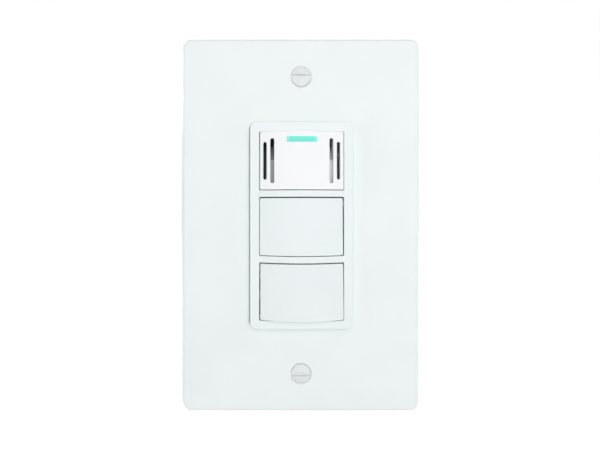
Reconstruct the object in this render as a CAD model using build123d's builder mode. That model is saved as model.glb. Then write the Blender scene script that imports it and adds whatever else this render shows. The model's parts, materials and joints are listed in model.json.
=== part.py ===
from build123d import *
from math import radians, tan
import os

os.makedirs("parts", exist_ok=True)

# The part stands as it does on a wall: X to the right, Z up, Y pointing into the wall.
# The wall surface is y = 0, so everything in front of the wall has a negative depth.

# Wall plate
plate_width = 79.4
plate_height = 123.8
plate_depth = 5.6
plate_wall = 2.2
plate_skin = 2.2
plate_draft = 14
plate_corner_radius = 3.8
plate_inner_corner_radius = 1.8
plate_edge_radius = 1.0
plate_screw_spacing = 96.84
plate_rib_offset = 28.0
plate_rib_thickness = 1.2
plate_rib_length = 104.0
plate_rib_depth = 2.4
opening_collar_width = 1.2
opening_collar_depth = 0.5
opening_edge_radius = 0.4

# Plate screws
plate_screw_head_radius = 3.35
plate_screw_dome_height = 0.9
plate_screw_slot_width = 1.4
plate_screw_slot_depth = 0.75
plate_screw_thread_radius = 1.75
plate_screw_length = 12.7
countersink_angle = 82
plate_screw_sink = 0.2
countersink_clearance = 0.05
plate_screw_hole_clearance = 0.35

# Front frame
frame_width = 33.0
frame_height = 66.5
frame_depth = 8.55
frame_skin = 1.5
frame_wall = 1.2
frame_corner_radius = 2.2
frame_inner_corner_radius = 1.0
frame_edge_radius = 0.15
frame_fit_clearance = 0.3
frame_side_border = 2.9
frame_top_border = 3.15
frame_bottom_border = 2.85
window_corner_radius = 0.3
cover_window_share = 0.33493
light_window_share = 0.33529
upper_bar_height = 2.12
lower_bar_height = 2.1
lower_bar_sag = 0.25
fan_window_sag = 0.6
crown_sagitta = 1.8
bar_side_overlap = 0.5
bar_edge_radius = 0.25
rail_thickness = 1.2
rail_stand_off = 2.2
rail_end_margin = 2.05
bar_rib_thickness = 1.2
bar_rib_stand_off = 3.2
ledge_width = 0.8
ledge_thickness = 1.0
ledge_end_gap = 0.5

# Snap legs that hold the frame to the strap
snap_leg_thickness = 1.2
snap_leg_width = 5.0
snap_leg_height = 15.0
snap_leg_clearance = 0.1
snap_leg_overlap = 0.4
snap_leg_end = 1.3
snap_hook_reach = 0.7
snap_hook_clearance = 0.05
snap_hook_land = 0.25

# Crowned shells: sensor cover and buttons
cap_skin = 1.4
cap_wall = 1.2
cap_corner_radius = 0.3
cap_edge_radius = 0.22
cap_front_limit = 13.0

# Sensor cover
cover_side_gap = 0.2
cover_side_shift = 0.05
cover_top_gap = 0.05
cover_bottom_gap = 0.2
cover_top_recess = 0.12
cover_bottom_proud = 0.1
cover_back_depth = 2.95
inner_slot_inset = 4.17
inner_slot_width = 1.27
inner_slot_end_margin = 2.22
outer_slot_inset = 1.85
outer_slot_width = 1.08
outer_slot_end_margin = 3.37
lens_width = 9.6
lens_height = 1.62
lens_drop = 2.6
lens_corner_radius = 0.3
lens_clearance = 0.05

# Light pipe behind the lens
pipe_flange_side_margin = 0.9
pipe_flange_top_margin = 0.3
pipe_flange_thickness = 0.8
pipe_flange_gap = 0.35
pipe_stem_width = 4.0
pipe_stem_height = 1.4
pipe_stem_gap = 0.1

# Buttons
button_side_gap = 0.3
light_button_shift = -0.12
fan_button_shift = 0.06
button_top_gap = 0.35
light_button_bottom_gap = 0.25
fan_button_bottom_gap = 0.35
button_top_recess = 0.3
light_button_bottom_proud = 0.4
fan_button_bottom_proud = 0.7
button_back_depth = 3.75
hinge_set_back = 2.35
hinge_drop = 1.6
hinge_pin_radius = 0.8
hinge_clearance = 0.05
hinge_pin_length = 0.95
hinge_pin_embed = 0.85
pusher_bottom_margin = 4.26
pusher_rib_length = 3.2
pusher_rib_thickness = 1.0
pusher_embed = 0.35
pusher_rib_relief = 0.7
pusher_tip_radius = 1.0

# Mounting strap
strap_thickness = 1.2
strap_length = 106.4
strap_side_margin = 0.5
strap_frame_margin = 2.25
strap_end_width = 22.0
strap_ear_width = 36.0
strap_ear_height = 9.0
strap_ear_spacing = 97.4
strap_corner_radius = 1.2
strap_ledge_width = 2.0
strap_ledge_height = 3.25
strap_opening_radius = 1.0
device_screw_spacing = 83.34
device_slot_length = 7.5
device_slot_width = 4.0
strap_thread_clearance = 0.05
ear_score_offset = 11.6
ear_score_width = 0.6
ear_score_depth = 0.5
strap_corner_share = 0.45
ground_tab_x = -14.0
ground_tab_offset = 3.6
ground_tab_width = 9.0
ground_tab_height = 8.6

# Device mounting screws and their fibre retainers
device_head_radius = 3.4
device_head_height = 2.0
device_neck_radius = 1.5
device_thread_radius = 1.75
device_thread_length = 23.0
retainer_half_size = 4.3
retainer_thickness = 0.8
retainer_hole_clearance = 0.1

# Other screws
pan_edge_radius = 0.4
screw_tip_chamfer = 0.4
recess_width = 0.6
recess_depth = 0.9
recess_reach = 1.1
ground_head_radius = 3.1
ground_head_height = 2.2
ground_shank_radius = 2.05
ground_shank_length = 2.9
ground_slot_width = 0.9
ground_slot_depth = 1.1
housing_screw_side_inset = 2.5
housing_screw_end_inset = 3.5
housing_head_radius = 1.9
housing_head_height = 1.5
housing_shank_radius = 1.25
housing_shank_length = 9.0
housing_shank_clearance = 0.1

# Rear housing
housing_side_margin = 5.0
housing_end_inset = 1.25
housing_depth = 34.0
housing_wall = 1.5
housing_corner_radius = 2.5
housing_inner_corner_radius = 1.2
housing_edge_radius = 1.0
housing_panel_width = 29.0
housing_panel_height = 42.0
housing_panel_radius = 1.5
housing_panel_depth = 0.4
housing_seam_distance = 3.0
housing_seam_width = 0.5
housing_seam_depth = 0.4
housing_groove_count = 7
housing_groove_pitch = 4.4
housing_groove_width = 1.2
housing_groove_length = 22.0
housing_groove_depth = 0.5
strip_gauge_length = 16.0
strip_gauge_width = 2.0
strip_gauge_depth = 0.4
corner_post_radius = 2.0
corner_post_length = 14.0
pilot_clearance = 0.05
pilot_extra_depth = 1.0

# Terminal recesses, plates and screws
terminal_height_share = 0.1875
terminal_depth = 15.0
terminal_recess_sink = 3.2
terminal_recess_height = 11.0
terminal_recess_depth = 10.0
terminal_block_sink = 6.3
terminal_block_height = 14.0
terminal_block_depth = 13.0
terminal_screw_pocket_radius = 2.2
terminal_screw_pocket_sink = 5.6
terminal_plate_thickness = 1.0
terminal_plate_height = 9.0
terminal_plate_depth = 9.0
terminal_tail_height = 3.0
terminal_tail_clearance = 0.05
terminal_pin_height = 1.2
pin_stick_out = 0.8
terminal_head_radius = 3.5
terminal_head_height = 2.0
terminal_shank_radius = 1.95
terminal_shank_length = 3.1
terminal_thread_clearance = 0.05

# Boards
board_thickness = 1.6
control_board_front = 2.0
control_board_side_gap = 1.0
board_end_gap = 0.7
power_board_lift = 4.5
power_board_side_gap = 0.5
board_corner_radius = 0.6
board_notch_width = 3.0
board_notch_height = 4.0
standoff_side_inset = 4.5
standoff_end_inset = 6.3
standoff_radius = 2.2
standoff_sides = 6
standoff_stud_radius = 1.0
standoff_stud_length = 2.6
standoff_bore_radius = 1.05
standoff_bore_length = 7.0
board_hole_radius = 1.15
board_screw_head_radius = 1.8
board_screw_head_height = 1.2
board_screw_radius = 1.0
board_screw_length = 7.0
floor_boss_radius = 2.4

# Tactile switches
tact_size = 6.2
tact_base_height = 3.2
tact_chamber_radius = 2.4
tact_chamber_depth = 2.4
tact_cover_thickness = 0.3
tact_cover_size = 6.0
tact_cover_tab_width = 2.2
tact_cover_tab_length = 1.6
tact_leg_width = 0.7
tact_leg_thickness = 0.25
tact_leg_spacing = 4.5
plunger_radius = 1.75
plunger_clearance = 0.05
plunger_stand_out = 1.8
plunger_collar_radius = 2.2
plunger_collar_thickness = 0.6
plunger_nub_radius = 0.8
dome_crest_depth = 1.2
dome_rise = 1.0
dome_radius = 2.15
dome_thickness = 0.12

# Trimmers
trimmer_x = 8.5
trimmer_drop = 6.16
trimmer_width = 6.6
trimmer_height = 7.0
trimmer_body_height = 4.4
trimmer_recess_radius = 2.95
trimmer_recess_depth = 1.5
dial_radius = 2.85
dial_stand_out = 0.7
dial_shaft_radius = 1.2
dial_shaft_clearance = 1.2
dial_slot_width = 0.7
dial_slot_length = 4.2
dial_slot_depth = 0.9
dial_arrow_width = 1.9
dial_arrow_length = 1.5
dial_clearance = 0.05

# Sensor chamber and sensing parts
carrier_side_inset = 2.7
carrier_wall = 0.8
carrier_bottom_inset = 1.15
carrier_top_inset = 0.8
carrier_cover_gap = 0.2
carrier_foot_margin = 0.6
carrier_foot_thickness = 1.2
baffle_thickness = 0.8
baffle_skin_gap = 0.1
baffle_foot_depth = 0.4
baffle_foot_rise = 0.55
baffle_pipe_gap = 0.8
baffle_slope_depth = 4.8
baffle_slope_rise = 5.0
baffle_slope_set_back = 1.0
sensor_x = -5.0
sensor_drop = 5.3
sensor_size = 3.0
sensor_thickness = 1.1
sensor_port_radius = 0.7
sensor_port_depth = 0.5
bead_x = 4.6
bead_radius = 0.9
bead_stand_off = 2.4
bead_lead_radius = 0.2
bead_lead_spacing = 1.0

# Parts on the control board
led_width = 3.4
led_height = 1.5
led_thickness = 1.0
led_lens_radius = 0.55
chip_size = 7.0
chip_thickness = 1.2
chip_tact_gap = 1.72
chip_lead_count = 8
chip_lead_pitch = 0.8
chip_lead_width = 0.35
chip_lead_reach = 0.9
chip_lead_thickness = 0.3
small_part_width = 1.2
small_part_height = 2.0
small_part_thickness = 0.7
small_part_pitch_x = 3.4
small_part_pitch_z = 4.2
small_part_columns = 2
small_part_rows = 3
small_part_x = 10.5
small_part_drop = 1.5

# Header between the boards
header_x = 6.04
header_drop = 2.3
header_pins = 3
header_pitch = 2.54
header_pin_radius = 0.32
header_pin_front_length = 1.0
header_block_height = 2.5
header_block_thickness = 2.6
header_hole_radius = 0.42

# Parts on the power board
relay_width = 10.2
relay_height = 20.3
relay_depth = 15.6
relay_x = 5.9
relay_z = 9.6
relay_edge_radius = 0.6
film_width = 16.0
film_height = 8.5
film_depth = 14.0
film_x = -5.5
film_z = -9.0
film_edge_radius = 0.5
reservoir_radius = 5.0
reservoir_length = 16.0
reservoir_x = 9.0
reservoir_z = -9.5
reservoir_groove_radius = 4.6
reservoir_groove_offset = 2.2
reservoir_groove_width = 0.8
varistor_radius = 5.0
varistor_thickness = 3.8
varistor_stand_off = 1.2
varistor_x = 4.5
varistor_z = -20.5
varistor_edge_radius = 1.2
fuse_radius = 4.0
fuse_length = 7.5
fuse_x = -6.5
fuse_z = -20.5
fuse_edge_radius = 0.5
lead_radius = 0.35
lead_embed = 0.6

# Sizes that follow: planes parallel to the wall, from the room inwards
device_front = -frame_depth
crown_front = device_front - crown_sagitta
plate_front = -plate_depth
plate_inside = plate_front + plate_skin
strap_front = -strap_thickness
cover_back = device_front + cover_back_depth
button_back = device_front + button_back_depth
hinge_depth = device_front + hinge_set_back
rail_back = strap_front - rail_stand_off
bar_rib_back = strap_front - bar_rib_stand_off
snap_leg_root = rail_back - snap_leg_overlap
control_board_back = control_board_front + board_thickness
tact_base_front = control_board_front - tact_base_height
tact_chamber_back = tact_base_front + tact_chamber_depth
plunger_front = tact_base_front - plunger_stand_out
pusher_rib_end = plunger_front - pusher_rib_relief
pusher_front = crown_front + button_top_recess + pusher_embed
dome_crest = tact_base_front + dome_crest_depth
dome_base = dome_crest + dome_rise
trimmer_front = control_board_front - trimmer_body_height
trimmer_recess_back = trimmer_front + trimmer_recess_depth
dial_front = trimmer_front - dial_stand_out
dial_shaft_back = control_board_front - dial_shaft_clearance
carrier_front = cover_back + carrier_cover_gap
pipe_flange_front = crown_front + cover_top_recess + cap_skin + pipe_flange_gap
pipe_stem_back = control_board_front - led_thickness - pipe_stem_gap
header_pin_front = control_board_front - header_pin_front_length
tact_leg_end = control_board_back + pin_stick_out
housing_floor = housing_depth - housing_wall
power_board_front = housing_floor - power_board_lift
power_board_back = power_board_front + board_thickness
pin_end = power_board_back + pin_stick_out
housing_pilot_depth = housing_shank_length - strap_thickness + pilot_extra_depth

# Sizes that follow: the front, from top to bottom
window_half_width = frame_width / 2 - frame_side_border
bar_half_width = window_half_width + bar_side_overlap
window_stack = (
    frame_height - frame_top_border - frame_bottom_border - upper_bar_height - lower_bar_height
)
cover_window_top = frame_height / 2 - frame_top_border
cover_window_bottom = cover_window_top - cover_window_share * window_stack
light_window_top = cover_window_bottom - upper_bar_height
light_window_bottom = light_window_top - light_window_share * window_stack
fan_window_top = light_window_bottom - lower_bar_height
fan_window_bottom = frame_bottom_border - frame_height / 2
cover_top = cover_window_top - cover_top_gap
cover_bottom = cover_window_bottom + cover_bottom_gap
light_button_top = light_window_top - button_top_gap
light_button_bottom = light_window_bottom + light_button_bottom_gap
fan_button_top = fan_window_top - button_top_gap
fan_button_bottom = fan_window_bottom + fan_button_bottom_gap
lever_arm = fan_button_top - fan_button_bottom - hinge_drop - pusher_bottom_margin
light_hinge_z = light_button_top - hinge_drop
fan_hinge_z = fan_button_top - hinge_drop
light_pusher_z = light_hinge_z - lever_arm
fan_pusher_z = fan_hinge_z - lever_arm
slot_middle_height = (cover_window_top + cover_window_bottom) / 2
inner_slot_length = cover_window_top - cover_window_bottom - 2 * inner_slot_end_margin
outer_slot_length = cover_window_top - cover_window_bottom - 2 * outer_slot_end_margin
inner_slot_offset = window_half_width - inner_slot_inset
outer_slot_offset = window_half_width - outer_slot_inset
lens_middle_height = cover_window_top - lens_drop
crown_radius = (window_half_width**2 + crown_sagitta**2) / (2 * crown_sagitta)
rail_outer = window_half_width + rail_thickness
rail_half_length = frame_height / 2 - rail_end_margin
hinge_pin_reach = window_half_width + hinge_pin_length
hinge_pin_root = window_half_width - hinge_pin_embed
cap_cylinder_length = frame_height
opening_width = frame_width + 2 * frame_fit_clearance
opening_height = frame_height + 2 * frame_fit_clearance
opening_corner_radius = frame_corner_radius + frame_fit_clearance
countersink_slope = tan(radians(countersink_angle / 2))
countersink_height = (plate_screw_head_radius - plate_screw_thread_radius) / countersink_slope
countersink_mouth_radius = (
    plate_screw_head_radius + countersink_clearance + plate_screw_sink * countersink_slope
)
plate_screw_dome_radius = (
    plate_screw_head_radius**2 + plate_screw_dome_height**2
) / (2 * plate_screw_dome_height)

# Sizes that follow: strap, housing and terminals
housing_width = frame_width + 2 * housing_side_margin
housing_height = frame_height - 2 * housing_end_inset
housing_screw_x = housing_width / 2 - housing_screw_side_inset
housing_screw_z = housing_height / 2 - housing_screw_end_inset
strap_middle_width = housing_width + 2 * strap_side_margin
strap_middle_height = frame_height + 2 * strap_frame_margin
strap_opening_width = frame_width - 2 * strap_ledge_width
strap_opening_height = frame_height - 2 * strap_ledge_height
snap_leg_outer = strap_opening_width / 2 - snap_leg_clearance
ground_tab_z = -housing_height / 2 - ground_tab_offset
ground_tab_room = (strap_ear_spacing - strap_ear_height - ground_tab_height) / 2 + ground_tab_z
strap_fillet_radius = min(strap_corner_radius, strap_corner_share * ground_tab_room)
terminal_height = terminal_height_share * housing_height
terminal_recess_bottom = housing_width / 2 - terminal_recess_sink
terminal_block_inner = housing_width / 2 - terminal_block_sink
terminal_screw_pocket_bottom = housing_width / 2 - terminal_screw_pocket_sink

# Sizes that follow: boards and what stands on them
control_board_width = housing_width - 2 * (housing_wall + control_board_side_gap)
power_board_width = housing_width - 2 * (housing_wall + power_board_side_gap)
board_height = housing_height - 2 * (housing_wall + board_end_gap)
standoff_x = control_board_width / 2 - standoff_side_inset
standoff_z = board_height / 2 - standoff_end_inset
carrier_half_width = window_half_width - carrier_side_inset
carrier_bottom = cover_window_bottom + carrier_bottom_inset
carrier_top = cover_window_top - carrier_top_inset
baffle_front = (
    crown_front + cover_top_recess + cap_skin + baffle_skin_gap
    + carrier_half_width**2 / (2 * crown_radius)
)
baffle_foot_back = carrier_front + baffle_foot_depth
baffle_bottom = carrier_bottom + baffle_foot_rise
baffle_slope_top = lens_middle_height - pipe_stem_height / 2 - baffle_pipe_gap
baffle_shelf_top = baffle_slope_top - baffle_slope_rise
sensor_z = carrier_top - sensor_drop
header_z = carrier_top - header_drop
chip_z = light_pusher_z + (tact_size + chip_size) / 2 + chip_tact_gap
small_part_z = chip_z - small_part_drop
trimmer_z = fan_window_top - trimmer_drop


def face_plane(depth):
    """Plane parallel to the wall at a depth; its sketch axes are X and Z, its normal
    points into the room, so extruding forward takes away depth."""
    return Plane(origin=(0, depth, 0), x_dir=(1, 0, 0), z_dir=(0, -1, 0))


def back_plane(depth):
    """The same plane seen from inside the wall; its normal points into the wall."""
    return Plane(origin=(0, depth, 0), x_dir=(-1, 0, 0), z_dir=(0, 1, 0))


def outline_at(depth, left, right, bottom, top, bottom_sag, top_sag, corner):
    """Upright four-sided outline. Its bottom and top edges may hang down in the middle, on
    arcs that reach across the bars, so that windows, bars and buttons share them."""
    with BuildSketch(face_plane(depth)) as outline:
        with BuildLine():
            if top_sag > 0:
                ThreePointArc((-bar_half_width, top), (0, top - top_sag), (bar_half_width, top))
            else:
                Line((-bar_half_width, top), (bar_half_width, top))
            Line((bar_half_width, top), (bar_half_width, bottom))
            if bottom_sag > 0:
                ThreePointArc(
                    (bar_half_width, bottom), (0, bottom - bottom_sag), (-bar_half_width, bottom)
                )
            else:
                Line((bar_half_width, bottom), (-bar_half_width, bottom))
            Line((-bar_half_width, bottom), (-bar_half_width, top))
        make_face()
        if right < bar_half_width:
            with Locations(((left + right) / 2, (bottom + top) / 2)):
                Rectangle(right - left, 2 * (top - bottom), mode=Mode.INTERSECT)
        if corner > 0:
            fillet(outline.vertices(), corner)
    return outline.sketch


def crown_axis(top, bottom, radius):
    """Plane standing on the axis of a cylinder whose foremost line runs from bottom to
    top, both given as (depth, height)."""
    along = Vector(0, top[0] - bottom[0], top[1] - bottom[1]).normalized()
    inward = Vector(0, along.Z, -along.Y)
    middle = Vector(0, (top[0] + bottom[0]) / 2, (top[1] + bottom[1]) / 2)
    return Plane(origin=middle + inward * radius, x_dir=(1, 0, 0), z_dir=along)


def crowned_shell(left, right, bottom, top, bottom_sag, top_sag, back, axis_plane):
    """Open-backed cap with a cylindrical front face."""
    with BuildPart() as core:
        inner = outline_at(
            back, left + cap_wall, right - cap_wall, bottom + cap_wall, top - cap_wall,
            bottom_sag, top_sag, cap_corner_radius,
        )
        extrude(to_extrude=inner, amount=cap_front_limit)
        with Locations(axis_plane):
            Cylinder(crown_radius - cap_skin, cap_cylinder_length, mode=Mode.INTERSECT)
    with BuildPart() as shell:
        outer = outline_at(back, left, right, bottom, top, bottom_sag, top_sag, 0)
        extrude(to_extrude=outer, amount=cap_front_limit)
        with Locations(axis_plane):
            Cylinder(crown_radius, cap_cylinder_length, mode=Mode.INTERSECT)
        fillet(shell.edges().filter_by(Axis.Y), cap_corner_radius)
        front_face = shell.faces().filter_by(GeomType.CYLINDER).sort_by(SortBy.AREA)[-1]
        fillet(front_face.edges(), cap_edge_radius)
        add(core.part, mode=Mode.SUBTRACT)
    return shell.part


def crossbar(bottom, top, sag):
    """Crowned crossbar of the frame, standing on the back of the frame's skin."""
    with BuildPart() as bar:
        outline = outline_at(
            device_front + frame_skin, -bar_half_width, bar_half_width, bottom, top, sag, sag, 0
        )
        extrude(to_extrude=outline, amount=cap_front_limit)
        with Locations(crown_axis((crown_front, top), (crown_front, bottom), crown_radius)):
            Cylinder(crown_radius, cap_cylinder_length, mode=Mode.INTERSECT)
        front_face = bar.faces().filter_by(GeomType.CYLINDER).sort_by(SortBy.AREA)[-1]
        long_edges = front_face.edges().sort_by(SortBy.LENGTH)[-2:]
        fillet(long_edges, bar_edge_radius)
    return bar.part


def pan_screw(head_radius, head_height, neck_radius, neck_length, shank_radius, shank_length):
    """Pan-head screw along Z with its head on z = 0 and its shank below, no drive yet."""
    with BuildPart() as screw:
        Cylinder(head_radius, head_height, align=(Align.CENTER, Align.CENTER, Align.MIN))
        fillet(screw.edges().sort_by(Axis.Z)[-1], pan_edge_radius)
        if neck_length > 0:
            Cylinder(neck_radius, neck_length, align=(Align.CENTER, Align.CENTER, Align.MAX))
        with Locations((0, 0, -neck_length)):
            Cylinder(shank_radius, shank_length, align=(Align.CENTER, Align.CENTER, Align.MAX))
        chamfer(screw.edges().sort_by(Axis.Z)[0], screw_tip_chamfer)
    return screw.part


def cross_screw(head_radius, head_height, neck_radius, neck_length, shank_radius, shank_length):
    """Pan-head screw with a cross recess."""
    plain = pan_screw(
        head_radius, head_height, neck_radius, neck_length, shank_radius, shank_length
    )
    with BuildPart() as screw:
        add(plain)
        with Locations((0, 0, head_height)):
            for turn in (0, 90):
                Box(
                    2 * recess_reach, recess_width, 2 * recess_depth,
                    rotation=(0, 0, turn), mode=Mode.SUBTRACT,
                )
    return screw.part


def slot_screw(head_radius, head_height, shank_radius, shank_length, slot_width, slot_depth):
    """Pan-head screw with a straight slot."""
    plain = pan_screw(head_radius, head_height, 0, 0, shank_radius, shank_length)
    with BuildPart() as screw:
        add(plain)
        with Locations((0, 0, head_height)):
            Box(2 * head_radius, slot_width, 2 * slot_depth, mode=Mode.SUBTRACT)
    return screw.part


# Wall plate: drafted shell with the device opening and two countersunk holes
with BuildPart() as wall_plate:
    with BuildSketch(face_plane(0)):
        RectangleRounded(plate_width, plate_height, plate_corner_radius)
    extrude(amount=plate_depth, taper=plate_draft)
    fillet(wall_plate.faces().sort_by(Axis.Y)[0].edges(), plate_edge_radius)
    with BuildSketch(face_plane(0)):
        RectangleRounded(
            plate_width - 2 * plate_wall,
            plate_height - 2 * plate_wall,
            plate_inner_corner_radius,
        )
    extrude(amount=plate_depth - plate_skin, mode=Mode.SUBTRACT)
    with BuildSketch(back_plane(plate_inside)):
        with GridLocations(2 * plate_rib_offset, 0, 2, 1):
            Rectangle(plate_rib_thickness, plate_rib_length)
    extrude(amount=plate_rib_depth)
    with BuildSketch(back_plane(plate_inside)):
        RectangleRounded(
            opening_width + 2 * opening_collar_width,
            opening_height + 2 * opening_collar_width,
            opening_corner_radius + opening_collar_width,
        )
    extrude(amount=opening_collar_depth)
    with BuildSketch(face_plane(0)):
        RectangleRounded(opening_width, opening_height, opening_corner_radius)
    extrude(amount=plate_depth, mode=Mode.SUBTRACT)
    front_face = wall_plate.faces().sort_by(Axis.Y)[0]
    fillet(front_face.inner_wires()[0].edges(), opening_edge_radius)
    with Locations(face_plane(plate_front)):
        with GridLocations(0, plate_screw_spacing, 1, 2):
            CounterSinkHole(
                plate_screw_thread_radius + plate_screw_hole_clearance,
                countersink_mouth_radius,
                depth=plate_depth,
                counter_sink_angle=countersink_angle,
            )
wall_plate.part.label = "wall_plate"
export_step(wall_plate.part, "parts/wall_plate.step")

# Plate screws: oval countersunk head with a straight slot lying level
with BuildPart() as plate_screw:
    Cylinder(
        plate_screw_head_radius, plate_screw_dome_height,
        align=(Align.CENTER, Align.CENTER, Align.MIN),
    )
    with Locations((0, 0, plate_screw_dome_height - plate_screw_dome_radius)):
        Sphere(plate_screw_dome_radius, mode=Mode.INTERSECT)
    Cone(
        plate_screw_thread_radius, plate_screw_head_radius, countersink_height,
        align=(Align.CENTER, Align.CENTER, Align.MAX),
    )
    with Locations((0, 0, -countersink_height)):
        Cylinder(
            plate_screw_thread_radius, plate_screw_length - countersink_height,
            align=(Align.CENTER, Align.CENTER, Align.MAX),
        )
    chamfer(plate_screw.edges().sort_by(Axis.Z)[0], screw_tip_chamfer)
    with Locations((0, 0, plate_screw_dome_height)):
        Box(
            2 * plate_screw_head_radius, plate_screw_slot_width, 2 * plate_screw_slot_depth,
            mode=Mode.SUBTRACT,
        )
with BuildPart() as plate_screws:
    with Locations(face_plane(plate_front + plate_screw_sink)):
        with GridLocations(0, plate_screw_spacing, 1, 2):
            add(plate_screw.part)
plate_screws.part.label = "plate_screws"
export_step(plate_screws.part, "parts/plate_screws.step")

# Front frame: shell with three windows, two crowned crossbars and the button hinges
cover_window = (cover_window_bottom, cover_window_top, 0, 0)
light_window = (light_window_bottom, light_window_top, lower_bar_sag, 0)
fan_window = (fan_window_bottom, fan_window_top, fan_window_sag, lower_bar_sag)
upper_bar = crossbar(light_window_top, cover_window_bottom, 0)
lower_bar = crossbar(fan_window_top, light_window_bottom, lower_bar_sag)
with BuildPart() as snap_leg:
    with BuildSketch(Plane.XY.offset(snap_leg_height - snap_leg_width / 2)):
        with BuildLine():
            Polyline(
                (snap_leg_outer - snap_leg_thickness, snap_leg_root),
                (snap_leg_outer, snap_leg_root),
                (snap_leg_outer, snap_hook_clearance),
                (snap_leg_outer + snap_hook_reach, snap_hook_clearance),
                (snap_leg_outer + snap_hook_reach, snap_hook_clearance + snap_hook_land),
                (snap_leg_outer, snap_leg_end),
                (snap_leg_outer - snap_leg_thickness, snap_leg_end),
                close=True,
            )
        make_face()
    extrude(amount=snap_leg_width)
    mirror(about=Plane.YZ)
    mirror(about=Plane.XY)
with BuildPart() as front_frame:
    with BuildSketch(face_plane(strap_front)):
        RectangleRounded(frame_width, frame_height, frame_corner_radius)
    extrude(amount=strap_front - device_front)
    fillet(front_frame.faces().sort_by(Axis.Y)[0].edges(), frame_edge_radius)
    with BuildSketch(face_plane(strap_front)):
        RectangleRounded(
            frame_width - 2 * frame_wall, frame_height - 2 * frame_wall,
            frame_inner_corner_radius,
        )
    extrude(amount=strap_front - device_front - frame_skin, mode=Mode.SUBTRACT)
    for bottom, top, bottom_sag, top_sag in (cover_window, light_window, fan_window):
        window = outline_at(
            0, -window_half_width, window_half_width, bottom, top, bottom_sag, top_sag,
            window_corner_radius,
        )
        extrude(to_extrude=window, amount=frame_depth, mode=Mode.SUBTRACT)
    add(upper_bar)
    add(lower_bar)
    add(snap_leg.part)
    with BuildSketch(back_plane(device_front + frame_skin)):
        with GridLocations(2 * window_half_width + rail_thickness, 0, 2, 1):
            Rectangle(rail_thickness, 2 * rail_half_length)
    extrude(amount=rail_back - device_front - frame_skin)
    with BuildSketch(back_plane(device_front + frame_skin)):
        with Locations(
            (0, (cover_window_bottom + light_window_top) / 2),
            (0, (light_window_bottom + fan_window_top) / 2),
        ):
            Rectangle(2 * window_half_width, bar_rib_thickness)
    extrude(amount=bar_rib_back - device_front - frame_skin)
    with BuildSketch(back_plane(cover_back)):
        with Locations((0, (cover_window_bottom + cover_window_top) / 2)):
            with GridLocations(2 * window_half_width - ledge_width, 0, 2, 1):
                Rectangle(
                    ledge_width, cover_window_top - cover_window_bottom - 2 * ledge_end_gap
                )
    extrude(amount=ledge_thickness)
    with Locations((0, hinge_depth, light_hinge_z), (0, hinge_depth, fan_hinge_z)):
        Cylinder(
            hinge_pin_radius + hinge_clearance, 2 * rail_outer, rotation=(0, 90, 0),
            mode=Mode.SUBTRACT,
        )
front_frame.part.label = "front_frame"
export_step(front_frame.part, "parts/front_frame.step")

# Sensor cover: crowned shell with four upright slots and the opening for the lens
cover_axis = crown_axis(
    (crown_front + cover_top_recess, cover_top),
    (crown_front - cover_bottom_proud, cover_bottom),
    crown_radius,
)
cover_shell = crowned_shell(
    -window_half_width + cover_side_gap + cover_side_shift,
    window_half_width - cover_side_gap + cover_side_shift,
    cover_bottom, cover_top, 0, 0, cover_back, cover_axis,
)
with BuildPart() as sensor_cover:
    add(cover_shell)
    with BuildSketch(face_plane(0)):
        with Locations((0, slot_middle_height)):
            with GridLocations(2 * inner_slot_offset, 0, 2, 1):
                SlotOverall(inner_slot_length, inner_slot_width, rotation=90)
            with GridLocations(2 * outer_slot_offset, 0, 2, 1):
                SlotOverall(outer_slot_length, outer_slot_width, rotation=90)
        with Locations((0, lens_middle_height)):
            RectangleRounded(
                lens_width + 2 * lens_clearance, lens_height + 2 * lens_clearance,
                lens_corner_radius,
            )
    extrude(amount=cap_front_limit, mode=Mode.SUBTRACT)
sensor_cover.part.label = "sensor_cover"
export_step(sensor_cover.part, "parts/sensor_cover.step")

# Light pipe: lens bar in the cover, a flange behind the skin and a stem to the LED
with BuildPart() as light_pipe:
    with BuildSketch(face_plane(pipe_flange_front + pipe_flange_thickness)):
        with Locations((0, lens_middle_height)):
            RectangleRounded(lens_width, lens_height, lens_corner_radius)
    extrude(amount=cap_front_limit)
    with Locations(cover_axis):
        Cylinder(crown_radius, cap_cylinder_length, mode=Mode.INTERSECT)
    with BuildSketch(back_plane(pipe_flange_front)):
        with Locations((0, lens_middle_height)):
            Rectangle(
                lens_width + 2 * pipe_flange_side_margin,
                lens_height + 2 * pipe_flange_top_margin,
            )
    extrude(amount=pipe_flange_thickness)
    with BuildSketch(back_plane(pipe_flange_front)):
        with Locations((0, lens_middle_height)):
            Rectangle(pipe_stem_width, pipe_stem_height)
    extrude(amount=pipe_stem_back - pipe_flange_front)
light_pipe.part.label = "light_pipe"
export_step(light_pipe.part, "parts/light_pipe.step")


def push_button(bottom, top, bottom_sag, top_sag, shift, proud, hinge_z, pusher_z):
    """Button shell with two hinge pins near its top and a ribbed, round-tipped pusher."""
    axis_plane = crown_axis(
        (crown_front + button_top_recess, top), (crown_front - proud, bottom), crown_radius
    )
    shell = crowned_shell(
        -window_half_width + button_side_gap + shift,
        window_half_width - button_side_gap + shift,
        bottom, top, bottom_sag, top_sag, button_back, axis_plane,
    )
    with BuildPart() as button:
        add(shell)
        for side in (-1, 1):
            with BuildSketch(Plane.YZ.offset(side * hinge_pin_root)):
                with Locations((hinge_depth, hinge_z)):
                    Circle(hinge_pin_radius)
            extrude(amount=side * (hinge_pin_reach - hinge_pin_root))
        with BuildSketch(face_plane(pusher_rib_end)):
            with Locations((0, pusher_z)):
                Rectangle(pusher_rib_length, pusher_rib_thickness)
                Rectangle(pusher_rib_thickness, pusher_rib_length)
        extrude(amount=pusher_rib_end - pusher_front)
        with Locations((0, plunger_front - pusher_tip_radius, pusher_z)):
            Sphere(pusher_tip_radius)
    return button.part


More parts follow.
